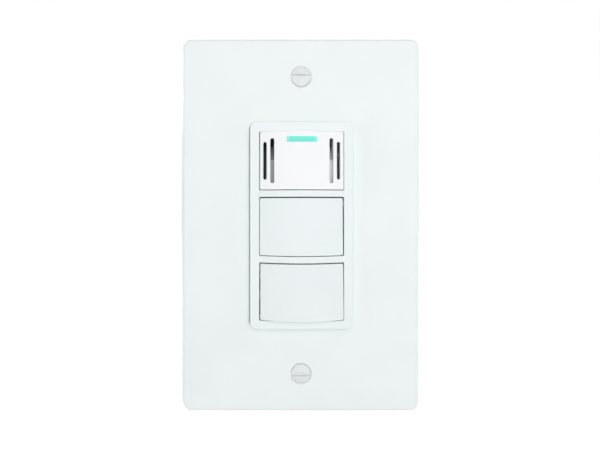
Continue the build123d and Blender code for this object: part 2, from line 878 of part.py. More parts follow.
# Light button and fan button, each tilting about its top edge
light_shape = push_button(
    light_button_bottom, light_button_top, lower_bar_sag, 0, light_button_shift,
    light_button_bottom_proud, light_hinge_z, light_pusher_z,
)
with BuildPart() as light_button:
    add(light_shape)
light_button.part.label = "light_button"
export_step(light_button.part, "parts/light_button.step")

fan_shape = push_button(
    fan_button_bottom, fan_button_top, fan_window_sag, lower_bar_sag, fan_button_shift,
    fan_button_bottom_proud, fan_hinge_z, fan_pusher_z,
)
with BuildPart() as fan_button:
    add(fan_shape)
fan_button.part.label = "fan_button"
export_step(fan_button.part, "parts/fan_button.step")

# Mounting strap: flat steel with scored ears, device slots and threaded plate holes
with BuildPart() as mounting_strap:
    with BuildSketch(face_plane(0)) as strap_outline:
        Rectangle(strap_middle_width, strap_middle_height)
        Rectangle(strap_end_width, strap_length)
        with GridLocations(0, strap_ear_spacing, 1, 2):
            Rectangle(strap_ear_width, strap_ear_height)
        with Locations((ground_tab_x, ground_tab_z)):
            Rectangle(ground_tab_width, ground_tab_height)
        fillet(strap_outline.vertices(), strap_fillet_radius)
        RectangleRounded(
            strap_opening_width, strap_opening_height, strap_opening_radius, mode=Mode.SUBTRACT
        )
        with GridLocations(0, device_screw_spacing, 1, 2):
            SlotOverall(device_slot_length, device_slot_width, mode=Mode.SUBTRACT)
        with GridLocations(0, plate_screw_spacing, 1, 2):
            Circle(plate_screw_thread_radius + strap_thread_clearance, mode=Mode.SUBTRACT)
        with GridLocations(2 * housing_screw_x, 2 * housing_screw_z, 2, 2):
            Circle(housing_shank_radius + housing_shank_clearance, mode=Mode.SUBTRACT)
        with Locations((ground_tab_x, ground_tab_z)):
            Circle(ground_shank_radius + strap_thread_clearance, mode=Mode.SUBTRACT)
    extrude(amount=strap_thickness)
    with BuildSketch(face_plane(strap_front + ear_score_depth)):
        with GridLocations(2 * ear_score_offset, strap_ear_spacing, 2, 2):
            Rectangle(ear_score_width, strap_ear_height)
    extrude(amount=ear_score_depth, mode=Mode.SUBTRACT)
mounting_strap.part.label = "mounting_strap"
export_step(mounting_strap.part, "parts/mounting_strap.step")

# Device mounting screws: head on the strap, neck through it, thread into the wall box
device_neck_length = strap_thickness + retainer_thickness
device_screw = cross_screw(
    device_head_radius, device_head_height, device_neck_radius, device_neck_length,
    device_thread_radius, device_thread_length,
)
with BuildPart() as device_screws:
    with Locations(face_plane(strap_front)):
        with GridLocations(0, device_screw_spacing, 1, 2):
            add(device_screw)
device_screws.part.label = "device_screws"
export_step(device_screws.part, "parts/device_screws.step")

# Fibre retainers that keep the device screws on the strap
with BuildPart() as screw_retainers:
    with BuildSketch(back_plane(0)):
        with GridLocations(0, device_screw_spacing, 1, 2):
            Rectangle(2 * retainer_half_size, 2 * retainer_half_size)
            Circle(device_neck_radius + retainer_hole_clearance, mode=Mode.SUBTRACT)
    extrude(amount=retainer_thickness)
screw_retainers.part.label = "screw_retainers"
export_step(screw_retainers.part, "parts/screw_retainers.step")

# Earthing screw on the strap's tab, head towards the wall box
earth_screw_shape = slot_screw(
    ground_head_radius, ground_head_height, ground_shank_radius, ground_shank_length,
    ground_slot_width, ground_slot_depth,
)
with BuildPart() as earth_screw:
    with Locations(back_plane(0)):
        with Locations((-ground_tab_x, ground_tab_z)):
            add(earth_screw_shape)
earth_screw.part.label = "earth_screw"
export_step(earth_screw.part, "parts/earth_screw.step")

# Rear housing: box with corner posts, floor bosses and four terminal recesses
with BuildPart() as rear_housing:
    with BuildSketch(back_plane(0)):
        RectangleRounded(housing_width, housing_height, housing_corner_radius)
    extrude(amount=housing_depth)
    fillet(rear_housing.faces().sort_by(Axis.Y)[-1].edges(), housing_edge_radius)
    with BuildSketch(back_plane(housing_depth - housing_panel_depth)):
        RectangleRounded(housing_panel_width, housing_panel_height, housing_panel_radius)
    extrude(amount=housing_panel_depth, mode=Mode.SUBTRACT)
    with BuildSketch(back_plane(housing_depth - strip_gauge_depth)):
        with Locations((-(housing_panel_width + housing_width) / 4, 0)):
            SlotOverall(strip_gauge_length, strip_gauge_width, rotation=90)
    extrude(amount=strip_gauge_depth, mode=Mode.SUBTRACT)
    with BuildSketch(back_plane(housing_seam_distance)):
        RectangleRounded(housing_width, housing_height, housing_corner_radius)
        RectangleRounded(
            housing_width - 2 * housing_seam_depth, housing_height - 2 * housing_seam_depth,
            housing_corner_radius - housing_seam_depth, mode=Mode.SUBTRACT,
        )
    extrude(amount=housing_seam_width, mode=Mode.SUBTRACT)
    for end in (-1, 1):
        with BuildSketch(Plane.XY.offset(end * (housing_height / 2 - housing_groove_depth))):
            with Locations((0, housing_depth / 2)):
                with GridLocations(housing_groove_pitch, 0, housing_groove_count, 1):
                    SlotOverall(housing_groove_length, housing_groove_width, rotation=90)
        extrude(amount=end * housing_groove_depth, mode=Mode.SUBTRACT)
    with BuildSketch(back_plane(0)):
        RectangleRounded(
            housing_width - 2 * housing_wall, housing_height - 2 * housing_wall,
            housing_inner_corner_radius,
        )
    extrude(amount=housing_floor, mode=Mode.SUBTRACT)
    with BuildSketch(back_plane(0)):
        with GridLocations(2 * housing_screw_x, 2 * housing_screw_z, 2, 2):
            Circle(corner_post_radius)
    extrude(amount=corner_post_length)
    with BuildSketch(back_plane(power_board_back)):
        with GridLocations(2 * standoff_x, 2 * standoff_z, 2, 2):
            Circle(floor_boss_radius)
    extrude(amount=housing_floor - power_board_back)
    with BuildSketch(back_plane(terminal_depth - terminal_block_depth / 2)):
        with GridLocations(
            housing_width / 2 + terminal_block_inner, 2 * terminal_height, 2, 2
        ):
            Rectangle(housing_width / 2 - terminal_block_inner, terminal_block_height)
    extrude(amount=terminal_block_depth)
    with BuildSketch(back_plane(terminal_depth - terminal_recess_depth / 2)):
        with GridLocations(
            housing_width / 2 + terminal_recess_bottom, 2 * terminal_height, 2, 2
        ):
            Rectangle(housing_width / 2 - terminal_recess_bottom, terminal_recess_height)
    extrude(amount=terminal_recess_depth, mode=Mode.SUBTRACT)
    with BuildSketch(back_plane(terminal_depth)):
        with GridLocations(
            2 * terminal_recess_bottom + terminal_plate_thickness, 2 * terminal_height, 2, 2
        ):
            Rectangle(
                terminal_plate_thickness + 2 * terminal_tail_clearance,
                terminal_tail_height + 2 * terminal_tail_clearance,
            )
    extrude(amount=terminal_block_depth, mode=Mode.SUBTRACT)
    for side in (-1, 1):
        with BuildSketch(Plane.YZ.offset(side * terminal_screw_pocket_bottom)):
            with Locations((terminal_depth, 0)):
                with GridLocations(0, 2 * terminal_height, 1, 2):
                    Circle(terminal_screw_pocket_radius)
        extrude(
            amount=side * (terminal_recess_bottom - terminal_screw_pocket_bottom),
            mode=Mode.SUBTRACT,
        )
    with BuildSketch(back_plane(0)):
        with GridLocations(2 * housing_screw_x, 2 * housing_screw_z, 2, 2):
            Circle(housing_shank_radius + pilot_clearance)
    extrude(amount=housing_pilot_depth, mode=Mode.SUBTRACT)
    with BuildSketch(back_plane(power_board_back)):
        with GridLocations(2 * standoff_x, 2 * standoff_z, 2, 2):
            Circle(standoff_stud_radius + pilot_clearance)
    extrude(amount=standoff_stud_length, mode=Mode.SUBTRACT)
rear_housing.part.label = "rear_housing"
export_step(rear_housing.part, "parts/rear_housing.step")

# Housing screws through the strap into the corner posts
housing_screw = cross_screw(
    housing_head_radius, housing_head_height, 0, 0, housing_shank_radius, housing_shank_length
)
with BuildPart() as housing_screws:
    with Locations(face_plane(strap_front)):
        with GridLocations(2 * housing_screw_x, 2 * housing_screw_z, 2, 2):
            add(housing_screw)
housing_screws.part.label = "housing_screws"
export_step(housing_screws.part, "parts/housing_screws.step")

# Terminal plates: brass plate in each recess with a tail down to the power board
with BuildPart() as terminal_plate:
    with BuildSketch(Plane.YZ.offset(terminal_recess_bottom)):
        with Locations((terminal_depth, terminal_height)):
            Rectangle(terminal_plate_depth, terminal_plate_height)
            Circle(terminal_shank_radius + terminal_thread_clearance, mode=Mode.SUBTRACT)
        with Locations((terminal_depth + terminal_plate_depth / 2, terminal_height)):
            Rectangle(
                power_board_front - terminal_depth - terminal_plate_depth / 2,
                terminal_tail_height, align=(Align.MIN, Align.CENTER),
            )
        with Locations((power_board_front, terminal_height)):
            Rectangle(
                pin_end - power_board_front, terminal_pin_height,
                align=(Align.MIN, Align.CENTER),
            )
    extrude(amount=terminal_plate_thickness)
with BuildPart() as terminal_plates:
    add(terminal_plate.part)
    mirror(about=Plane.YZ)
    mirror(about=Plane.XY)
terminal_plates.part.label = "terminal_plates"
export_step(terminal_plates.part, "parts/terminal_plates.step")

# Terminal screws: heads outward on the plates
terminal_screw = slot_screw(
    terminal_head_radius, terminal_head_height, terminal_shank_radius, terminal_shank_length,
    ground_slot_width, ground_slot_depth,
)
with BuildPart() as terminal_screws:
    with Locations(
        Plane(
            origin=(terminal_recess_bottom + terminal_plate_thickness, terminal_depth, 0),
            x_dir=(0, 1, 0), z_dir=(1, 0, 0),
        )
    ):
        with GridLocations(0, 2 * terminal_height, 1, 2):
            add(terminal_screw)
    mirror(about=Plane.YZ)
terminal_screws.part.label = "terminal_screws"
export_step(terminal_screws.part, "parts/terminal_screws.step")


def board_blank(front, width, height):
    """Circuit board with notched corners and four standoff holes."""
    with BuildPart() as board:
        with BuildSketch(back_plane(front)) as outline:
            Rectangle(width, height)
            with GridLocations(width - board_notch_width, height - board_notch_height, 2, 2):
                Rectangle(board_notch_width, board_notch_height, mode=Mode.SUBTRACT)
            fillet(outline.vertices(), board_corner_radius)
            with GridLocations(2 * standoff_x, 2 * standoff_z, 2, 2):
                Circle(board_hole_radius, mode=Mode.SUBTRACT)
            with Locations((-header_x, header_z), (header_x, header_z)):
                with GridLocations(header_pitch, 0, header_pins, 1):
                    Circle(header_hole_radius, mode=Mode.SUBTRACT)
        extrude(amount=board_thickness)
    return board.part


# Control board right behind the strap, power board near the housing floor
control_blank = board_blank(control_board_front, control_board_width, board_height)
with BuildPart() as control_board:
    add(control_blank)
    with BuildSketch(back_plane(control_board_front)):
        with Locations((0, light_pusher_z), (0, fan_pusher_z)):
            with GridLocations(tact_leg_spacing, tact_size, 2, 2):
                Rectangle(2 * tact_leg_width, 2 * tact_leg_thickness + tact_leg_width)
    extrude(amount=board_thickness, mode=Mode.SUBTRACT)
control_board.part.label = "control_board"
export_step(control_board.part, "parts/control_board.step")

power_blank = board_blank(power_board_front, power_board_width, board_height)
with BuildPart() as power_board:
    add(power_blank)
    with BuildSketch(back_plane(power_board_front)):
        with GridLocations(
            2 * terminal_recess_bottom + terminal_plate_thickness, 2 * terminal_height, 2, 2
        ):
            Rectangle(
                terminal_plate_thickness + 2 * terminal_tail_clearance,
                terminal_pin_height + 2 * terminal_tail_clearance,
            )
    extrude(amount=board_thickness, mode=Mode.SUBTRACT)
power_board.part.label = "power_board"
export_step(power_board.part, "parts/power_board.step")

# Standoffs between the boards, each with a stud into the housing floor
with BuildPart() as standoffs:
    with BuildSketch(back_plane(control_board_back)):
        with GridLocations(2 * standoff_x, 2 * standoff_z, 2, 2):
            RegularPolygon(standoff_radius, standoff_sides)
    extrude(amount=power_board_front - control_board_back)
    with BuildSketch(back_plane(power_board_front)):
        with GridLocations(2 * standoff_x, 2 * standoff_z, 2, 2):
            Circle(standoff_stud_radius)
    extrude(amount=board_thickness + standoff_stud_length)
    with BuildSketch(back_plane(control_board_back)):
        with GridLocations(2 * standoff_x, 2 * standoff_z, 2, 2):
            Circle(standoff_bore_radius)
    extrude(amount=standoff_bore_length, mode=Mode.SUBTRACT)
standoffs.part.label = "standoffs"
export_step(standoffs.part, "parts/standoffs.step")

# Board screws into the standoffs
board_screw = cross_screw(
    board_screw_head_radius, board_screw_head_height, 0, 0, board_screw_radius,
    board_screw_length,
)
with BuildPart() as board_screws:
    with Locations(face_plane(control_board_front)):
        with GridLocations(2 * standoff_x, 2 * standoff_z, 2, 2):
            add(board_screw)
board_screws.part.label = "board_screws"
export_step(board_screws.part, "parts/board_screws.step")

# Tactile switches: moulded bases with four legs each
with BuildPart() as tact_bases:
    with BuildSketch(back_plane(tact_base_front)):
        with Locations((0, light_pusher_z), (0, fan_pusher_z)):
            Rectangle(tact_size, tact_size)
    extrude(amount=control_board_front - tact_base_front)
    with BuildSketch(back_plane(tact_base_front)):
        with Locations((0, light_pusher_z), (0, fan_pusher_z)):
            Circle(tact_chamber_radius)
    extrude(amount=tact_chamber_back - tact_base_front, mode=Mode.SUBTRACT)
    with BuildSketch(back_plane(tact_chamber_back)):
        with Locations((0, light_pusher_z), (0, fan_pusher_z)):
            with GridLocations(tact_leg_spacing, tact_size - tact_leg_thickness, 2, 2):
                Rectangle(tact_leg_width, tact_leg_thickness)
    extrude(amount=tact_leg_end - tact_chamber_back)
tact_bases.part.label = "tact_bases"
export_step(tact_bases.part, "parts/tact_bases.step")

# Steel covers of the tactile switches
with BuildPart() as tact_covers:
    with BuildSketch(face_plane(tact_base_front)):
        with Locations((0, light_pusher_z), (0, fan_pusher_z)):
            Rectangle(tact_cover_size, tact_cover_size)
            Circle(plunger_radius + plunger_clearance, mode=Mode.SUBTRACT)
    extrude(amount=tact_cover_thickness)
    with BuildSketch(face_plane(tact_base_front + tact_cover_tab_length)):
        with Locations((0, light_pusher_z), (0, fan_pusher_z)):
            with GridLocations(tact_size + tact_cover_thickness, 0, 2, 1):
                Rectangle(tact_cover_thickness, tact_cover_tab_width)
    extrude(amount=tact_cover_tab_length + tact_cover_thickness)
    with BuildSketch(face_plane(tact_base_front)):
        with Locations((0, light_pusher_z), (0, fan_pusher_z)):
            with GridLocations(tact_size, 0, 2, 1):
                Rectangle(tact_cover_thickness, tact_cover_tab_width)
    extrude(amount=tact_cover_thickness)
tact_covers.part.label = "tact_covers"
export_step(tact_covers.part, "parts/tact_covers.step")


def switch_plunger(height):
    """Plunger with a collar under the steel cover and a nub on the snap dome."""
    with BuildPart() as plunger:
        with BuildSketch(back_plane(plunger_front)):
            with Locations((0, height)):
                Circle(plunger_radius)
        extrude(amount=tact_base_front - plunger_front)
        with BuildSketch(back_plane(tact_base_front)):
            with Locations((0, height)):
                Circle(plunger_collar_radius)
        extrude(amount=plunger_collar_thickness)
        with BuildSketch(back_plane(tact_base_front)):
            with Locations((0, height)):
                Circle(plunger_nub_radius)
        extrude(amount=dome_crest - tact_base_front)
    return plunger.part


def snap_dome(height):
    """Thin sprung steel dome whose crest faces the plunger."""
    rise = dome_base - dome_crest
    ball_radius = (dome_radius**2 + rise**2) / (2 * rise)
    with BuildPart() as dome:
        with BuildSketch(back_plane(dome_crest)):
            with Locations((0, height)):
                Circle(dome_radius)
        extrude(amount=rise)
        with Locations((0, dome_crest + ball_radius, height)):
            Sphere(ball_radius, mode=Mode.INTERSECT)
            Sphere(ball_radius - dome_thickness, mode=Mode.SUBTRACT)
    return dome.part


# Plungers and snap domes, one for each button
light_plunger_shape = switch_plunger(light_pusher_z)
fan_plunger_shape = switch_plunger(fan_pusher_z)
light_dome_shape = snap_dome(light_pusher_z)
fan_dome_shape = snap_dome(fan_pusher_z)
with BuildPart() as light_plunger:
    add(light_plunger_shape)
light_plunger.part.label = "light_plunger"
export_step(light_plunger.part, "parts/light_plunger.step")
with BuildPart() as fan_plunger:
    add(fan_plunger_shape)
fan_plunger.part.label = "fan_plunger"
export_step(fan_plunger.part, "parts/fan_plunger.step")
with BuildPart() as light_dome:
    add(light_dome_shape)
light_dome.part.label = "light_dome"
export_step(light_dome.part, "parts/light_dome.step")
with BuildPart() as fan_dome:
    add(fan_dome_shape)
fan_dome.part.label = "fan_dome"
export_step(fan_dome.part, "parts/fan_dome.step")

# Trimmer bodies with a round recess and a shaft hole for the dial
with BuildPart() as trimmer_bodies:
    with BuildSketch(back_plane(trimmer_front)):
        with Locations((0, trimmer_z)):
            with GridLocations(2 * trimmer_x, 0, 2, 1):
                Rectangle(trimmer_width, trimmer_height)
    extrude(amount=control_board_front - trimmer_front)
    with BuildSketch(back_plane(trimmer_front)):
        with Locations((0, trimmer_z)):
            with GridLocations(2 * trimmer_x, 0, 2, 1):
                Circle(trimmer_recess_radius)
    extrude(amount=trimmer_recess_back - trimmer_front, mode=Mode.SUBTRACT)
    with BuildSketch(back_plane(trimmer_recess_back)):
        with Locations((0, trimmer_z)):
            with GridLocations(2 * trimmer_x, 0, 2, 1):
                Circle(dial_shaft_radius + dial_clearance)
    extrude(amount=dial_shaft_back - trimmer_recess_back, mode=Mode.SUBTRACT)
trimmer_bodies.part.label = "trimmer_bodies"
export_step(trimmer_bodies.part, "parts/trimmer_bodies.step")


def trimmer_dial(offset):
    """Turning disc with an arrow-shaped screwdriver slot."""
    with BuildPart() as dial:
        with BuildSketch(back_plane(dial_front)):
            with Locations((-offset, trimmer_z)):
                Circle(dial_radius)
        extrude(amount=trimmer_recess_back - dial_front)
        with BuildSketch(back_plane(trimmer_recess_back)):
            with Locations((-offset, trimmer_z)):
                Circle(dial_shaft_radius)
        extrude(amount=dial_shaft_back - trimmer_recess_back)
        with BuildSketch(back_plane(dial_front)):
            with Locations((-offset, trimmer_z)):
                Rectangle(dial_slot_width, dial_slot_length)
            with Locations((-offset, trimmer_z + dial_slot_length / 2 - dial_arrow_length)):
                Triangle(
                    a=dial_arrow_width, b=dial_arrow_width, c=dial_arrow_width,
                    align=(Align.CENTER, Align.MIN),
                )
        extrude(amount=dial_slot_depth, mode=Mode.SUBTRACT)
    return dial.part


# Dials for run-on time and for moisture sensitivity
timer_shape = trimmer_dial(-trimmer_x)
sensitivity_shape = trimmer_dial(trimmer_x)
with BuildPart() as timer_dial:
    add(timer_shape)
timer_dial.part.label = "timer_dial"
export_step(timer_dial.part, "parts/timer_dial.step")
with BuildPart() as sensitivity_dial:
    add(sensitivity_shape)
sensitivity_dial.part.label = "sensitivity_dial"
export_step(sensitivity_dial.part, "parts/sensitivity_dial.step")

# Sensor carrier: white chamber behind the slots, its baffle a shelf with a sloping end
carrier_height = carrier_top - carrier_bottom
with BuildPart() as baffle:
    with BuildSketch(Plane.YZ.offset(-carrier_half_width)):
        with BuildLine():
            Polyline(
                (baffle_foot_back, baffle_bottom),
                (baffle_front, baffle_bottom),
                (baffle_front, baffle_shelf_top),
                (baffle_front + baffle_slope_depth, baffle_slope_top),
                (baffle_front + baffle_slope_depth, baffle_slope_top - baffle_slope_set_back),
                (
                    baffle_front + baffle_thickness,
                    baffle_shelf_top - baffle_slope_set_back / 2,
                ),
                (baffle_front + baffle_thickness, baffle_bottom + baffle_thickness),
                (baffle_foot_back, baffle_bottom + baffle_thickness),
                close=True,
            )
        make_face()
    extrude(amount=2 * carrier_half_width)
with BuildPart() as sensor_carrier:
    with BuildSketch(face_plane(control_board_front)):
        with Locations((0, (carrier_top + carrier_bottom) / 2)):
            Rectangle(2 * carrier_half_width, carrier_height)
            Rectangle(
                2 * (carrier_half_width - carrier_wall), carrier_height - 2 * carrier_wall,
                mode=Mode.SUBTRACT,
            )
    extrude(amount=control_board_front - carrier_front)
    with BuildSketch(face_plane(control_board_front)):
        with Locations((0, (carrier_top + carrier_bottom) / 2)):
            Rectangle(
                2 * (carrier_half_width + carrier_foot_margin),
                carrier_height + 2 * carrier_foot_margin,
            )
            Rectangle(
                2 * (carrier_half_width - carrier_wall), carrier_height - 2 * carrier_wall,
                mode=Mode.SUBTRACT,
            )
    extrude(amount=carrier_foot_thickness)
    add(baffle.part)
sensor_carrier.part.label = "sensor_carrier"
export_step(sensor_carrier.part, "parts/sensor_carrier.step")

# Moisture sensor with its port, and the temperature bead on two leads
with BuildPart() as moisture_sensor:
    with BuildSketch(face_plane(control_board_front)):
        with Locations((sensor_x, sensor_z)):
            Rectangle(sensor_size, sensor_size)
    extrude(amount=sensor_thickness)
    with BuildSketch(face_plane(control_board_front - sensor_thickness + sensor_port_depth)):
        with Locations((sensor_x, sensor_z)):
            Circle(sensor_port_radius)
    extrude(amount=sensor_port_depth, mode=Mode.SUBTRACT)
moisture_sensor.part.label = "moisture_sensor"
export_step(moisture_sensor.part, "parts/moisture_sensor.step")
with BuildPart() as temperature_bead:
    with Locations((bead_x, control_board_front - bead_stand_off, sensor_z)):
        Sphere(bead_radius)
    with BuildSketch(face_plane(control_board_front)):
        with Locations((bead_x, sensor_z)):
            with GridLocations(bead_lead_spacing, 0, 2, 1):
                Circle(bead_lead_radius)
    extrude(amount=bead_stand_off)
temperature_bead.part.label = "temperature_bead"
export_step(temperature_bead.part, "parts/temperature_bead.step")

# Status LED with its small moulded lens
with BuildPart() as status_led:
    with BuildSketch(face_plane(control_board_front)):
        with Locations((0, lens_middle_height)):
            Rectangle(led_width, led_height)
    extrude(amount=led_thickness - led_lens_radius / 2)
    with BuildSketch(face_plane(control_board_front)):
        with Locations((0, lens_middle_height)):
            Circle(led_lens_radius)
    extrude(amount=led_thickness)
status_led.part.label = "status_led"
export_step(status_led.part, "parts/status_led.step")

# Microcontroller with gull leads on two sides
with BuildPart() as microcontroller:
    with BuildSketch(face_plane(control_board_front)):
        with Locations((0, chip_z)):
            Rectangle(chip_size, chip_size)
    extrude(amount=chip_thickness)
    fillet(microcontroller.faces().sort_by(Axis.Y)[0].edges(), chip_lead_thickness)
    with BuildSketch(face_plane(control_board_front)):
        with Locations((0, chip_z)):
            with GridLocations(0, chip_lead_pitch, 1, chip_lead_count):
                Rectangle(chip_size + 2 * chip_lead_reach, chip_lead_width)
    extrude(amount=chip_lead_thickness)
microcontroller.part.label = "microcontroller"
export_step(microcontroller.part, "parts/microcontroller.step")

# Small resistors and capacitors around the microcontroller
with BuildPart() as chip_parts:
    with BuildSketch(face_plane(control_board_front)):
        with Locations((-small_part_x, small_part_z), (small_part_x, small_part_z)):
            with GridLocations(
                small_part_pitch_x, small_part_pitch_z, small_part_columns, small_part_rows
            ):
                Rectangle(small_part_width, small_part_height)
    extrude(amount=small_part_thickness)
chip_parts.part.label = "chip_parts"
export_step(chip_parts.part, "parts/chip_parts.step")

# Header between the boards: two rows of pins, each in a moulded block
with BuildPart() as pin_rows:
    with BuildSketch(back_plane(header_pin_front)):
        with Locations((-header_x, header_z), (header_x, header_z)):
            with GridLocations(header_pitch, 0, header_pins, 1):
                Circle(header_pin_radius)
    extrude(amount=pin_end - header_pin_front)
pin_rows.part.label = "header_pins"
export_step(pin_rows.part, "parts/header_pins.step")
with BuildPart() as header_blocks:
    with BuildSketch(face_plane(power_board_front)):
        with Locations((-header_x, header_z), (header_x, header_z)):
            Rectangle(header_pins * header_pitch, header_block_height)
            with GridLocations(header_pitch, 0, header_pins, 1):
                Circle(header_hole_radius, mode=Mode.SUBTRACT)
    extrude(amount=header_block_thickness)
header_blocks.part.label = "header_blocks"
export_step(header_blocks.part, "parts/header_blocks.step")

# Relays for the light and the fan
with BuildPart() as relays:
    with BuildSketch(face_plane(power_board_front)):
        with Locations((0, relay_z)):
            with GridLocations(2 * relay_x, 0, 2, 1):
                Rectangle(relay_width, relay_height)
    extrude(amount=relay_depth)
    fillet(relays.faces().group_by(Axis.Y)[0].edges(), relay_edge_radius)
relays.part.label = "relays"
export_step(relays.part, "parts/relays.step")

# Film capacitor across the supply
with BuildPart() as film_capacitor:
    with BuildSketch(face_plane(power_board_front)):
        with Locations((film_x, film_z)):
            Rectangle(film_width, film_height)
    extrude(amount=film_depth)
    fillet(film_capacitor.faces().sort_by(Axis.Y)[0].edges(), film_edge_radius)
film_capacitor.part.label = "film_capacitor"
export_step(film_capacitor.part, "parts/film_capacitor.step")

# Reservoir capacitor: upright can with a rolled groove
with BuildPart() as reservoir_capacitor:
    with BuildSketch(face_plane(power_board_front)):
        with Locations((reservoir_x, reservoir_z)):
            Circle(reservoir_radius)
    extrude(amount=reservoir_length)
    with BuildSketch(face_plane(power_board_front - reservoir_groove_offset)):
        with Locations((reservoir_x, reservoir_z)):
            Circle(reservoir_radius + reservoir_groove_width)
            Circle(reservoir_groove_radius, mode=Mode.SUBTRACT)
    extrude(amount=reservoir_groove_width, mode=Mode.SUBTRACT)
reservoir_capacitor.part.label = "reservoir_capacitor"
export_step(reservoir_capacitor.part, "parts/reservoir_capacitor.step")

# Varistor: upright disc on two leads
with BuildPart() as varistor:
    with Locations(
        (varistor_x, power_board_front - varistor_stand_off - varistor_radius, varistor_z)
    ):
        Cylinder(varistor_radius, varistor_thickness)
    fillet(varistor.edges().filter_by(GeomType.CIRCLE), varistor_edge_radius)
    with BuildSketch(face_plane(power_board_front)):
        with Locations((varistor_x, varistor_z)):
            with GridLocations(varistor_radius, 0, 2, 1):
                Circle(lead_radius)
    extrude(amount=varistor_stand_off + lead_embed + varistor_edge_radius)
varistor.part.label = "varistor"
export_step(varistor.part, "parts/varistor.step")

# Fuse: round moulded body standing on the power board
with BuildPart() as fuse:
    with BuildSketch(face_plane(power_board_front)):
        with Locations((fuse_x, fuse_z)):
            Circle(fuse_radius)
    extrude(amount=fuse_length)
    fillet(fuse.faces().sort_by(Axis.Y)[0].edges(), fuse_edge_radius)
fuse.part.label = "fuse"
export_step(fuse.part, "parts/fuse.step")
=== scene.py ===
import json
import math

import bmesh
import bpy
from mathutils import Matrix, Vector


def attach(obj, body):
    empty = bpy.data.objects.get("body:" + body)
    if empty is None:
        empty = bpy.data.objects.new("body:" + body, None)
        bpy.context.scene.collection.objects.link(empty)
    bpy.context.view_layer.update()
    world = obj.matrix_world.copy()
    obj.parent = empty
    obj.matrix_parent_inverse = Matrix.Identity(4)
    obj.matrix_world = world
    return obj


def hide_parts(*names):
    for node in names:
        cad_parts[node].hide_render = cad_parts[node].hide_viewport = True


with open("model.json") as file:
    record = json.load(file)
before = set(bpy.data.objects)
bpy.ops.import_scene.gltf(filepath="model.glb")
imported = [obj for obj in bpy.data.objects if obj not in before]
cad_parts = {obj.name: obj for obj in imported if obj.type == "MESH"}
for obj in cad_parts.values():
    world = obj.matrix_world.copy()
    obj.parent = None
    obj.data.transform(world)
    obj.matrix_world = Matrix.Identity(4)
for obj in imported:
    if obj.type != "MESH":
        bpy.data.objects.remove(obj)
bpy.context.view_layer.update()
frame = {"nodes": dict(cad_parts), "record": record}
nodes = frame["nodes"]
mounts = {mount["name"]: mount for mount in frame["record"]["mounts"]}
MM = 0.001

# Grain of the materials, as pattern scales per metre
CLOUD_SCALE = 60.0
PATCH_SCALE = 340.0
SKIN_SCALE = 2600.0
FIBRE_SCALE = 900.0
STREAK_SCALE = 900.0
PATTERN_LOW, PATTERN_HIGH = 0.3, 0.7
BUMP_DISTANCE = 0.2 * MM
STREAK_GLOSS = (0.8, 1.25)
STREAK_RELIEF = 0.03

# Places in metres where a look changes its tone, and the tints there: painted shade on the carrier
# and along the lens's lower edge, painted highlights at the lens's ends
BAFFLE_SHADE_REACH = 2.0 * MM
LENS_LOW_START, LENS_LOW_END = 28.1 * MM, 27.7 * MM
LENS_END_START, LENS_END_FULL = 3.7 * MM, 4.3 * MM
BAFFLE_SHADE = (0.52, 0.54, 0.54, 1)
# Painted shade that darkens the lens's lower edge, and painted highlights that lighten its ends
LENS_PAINTED_SHADE_TINT = (0.6, 0.92, 0.9, 1)
LENS_PAINTED_HIGHLIGHT_TINT = (2.6, 1.08, 1.1, 1)

# Fineness of the turned meshes
HEAD_SIDES = 64
DOME_STEPS, DOME_STEPS_KEPT = 16, 13
EDGE_STEPS, RIM_STEPS = 5, 6
SHANK_SIDES = 28
ROWS_PER_TURN, LEAST_ROWS = 8, 8
SMOOTH_DEGREES, EASE_DEGREES = 38, 40

# Thread form: the run-outs in turns, the others as shares
RIDGE_SLOPE, RIDGE_SINK = 1.25, 0.1
HEAD_RUN_OUT, TIP_RUN_OUT = 0.9, 1.1
HEAD_RIDGE_SHARE, TIP_CORE_SHARE = 0.25, 0.82

# Drives and heads, as shares of their own size or as overshoots in millimetres
SLOT_OVERRUN = 2.2
SLOT_OVERSHOOT, CROSS_OVERSHOOT = 1.0, 0.02
CROSS_TAPER = 0.55
BLOCK_FACES = (
    (0, 1, 2, 3), (7, 6, 5, 4), (0, 4, 5, 1), (1, 5, 6, 2), (2, 6, 7, 3), (3, 7, 4, 0),
)

# Places of the screws' seats, in millimetres, with the inch series' fine pitch
FINE_PITCH = 0.794
PLATE_SCREW_Z, PLATE_SCREW_SEAT = 48.42, -5.4
DEVICE_SCREW_Z, DEVICE_SCREW_SEAT = mounts["box_screws"]["dims"]["spacing_y_mm"] / 2, -1.2
HOUSING_SCREW_X, HOUSING_SCREW_Z, HOUSING_SCREW_SEAT = 19, 28.5, -1.2
BOARD_SCREW_X, BOARD_SCREW_Z, BOARD_SCREW_SEAT = 14.5, 23.5, 2.0
EARTH_SCREW_PLACE = (-14.0, 0, -35.6)
TERMINAL_SCREW_X, TERMINAL_SCREW_Y, TERMINAL_SCREW_Z = 19.3, 15.0, 12

# Studio, in metres and watts
FLOOR_Z, FLOOR_REACH = -0.12, 3.0
FLOOR_GREY = 0.8
FLOOR_GLOW = 0.35
HAZE_START, HAZE_END = 0.09, 0.22
FILL = 0.3
AIM = (0, 0, 0)

# Camera: 36 mm sensor, straight ahead, with the lens shifted as the photo was cropped
SENSOR_WIDTH = 36.0
FOCAL_LENGTH = 32.11
SHIFT_X, SHIFT_Y = 0.0638, -0.0149
EYE_PLACE = (-0.0128, -0.180, 0.003)
CLIP_START = 0.01


def srgb(r, g, b):
    """Linear colour from the 0 to 255 values of a screen colour."""
    def channel(c):
        c = c / 255
        return c / 12.92 if c <= 0.04045 else ((c + 0.055) / 1.055) ** 2.4
    return (channel(r), channel(g), channel(b), 1)


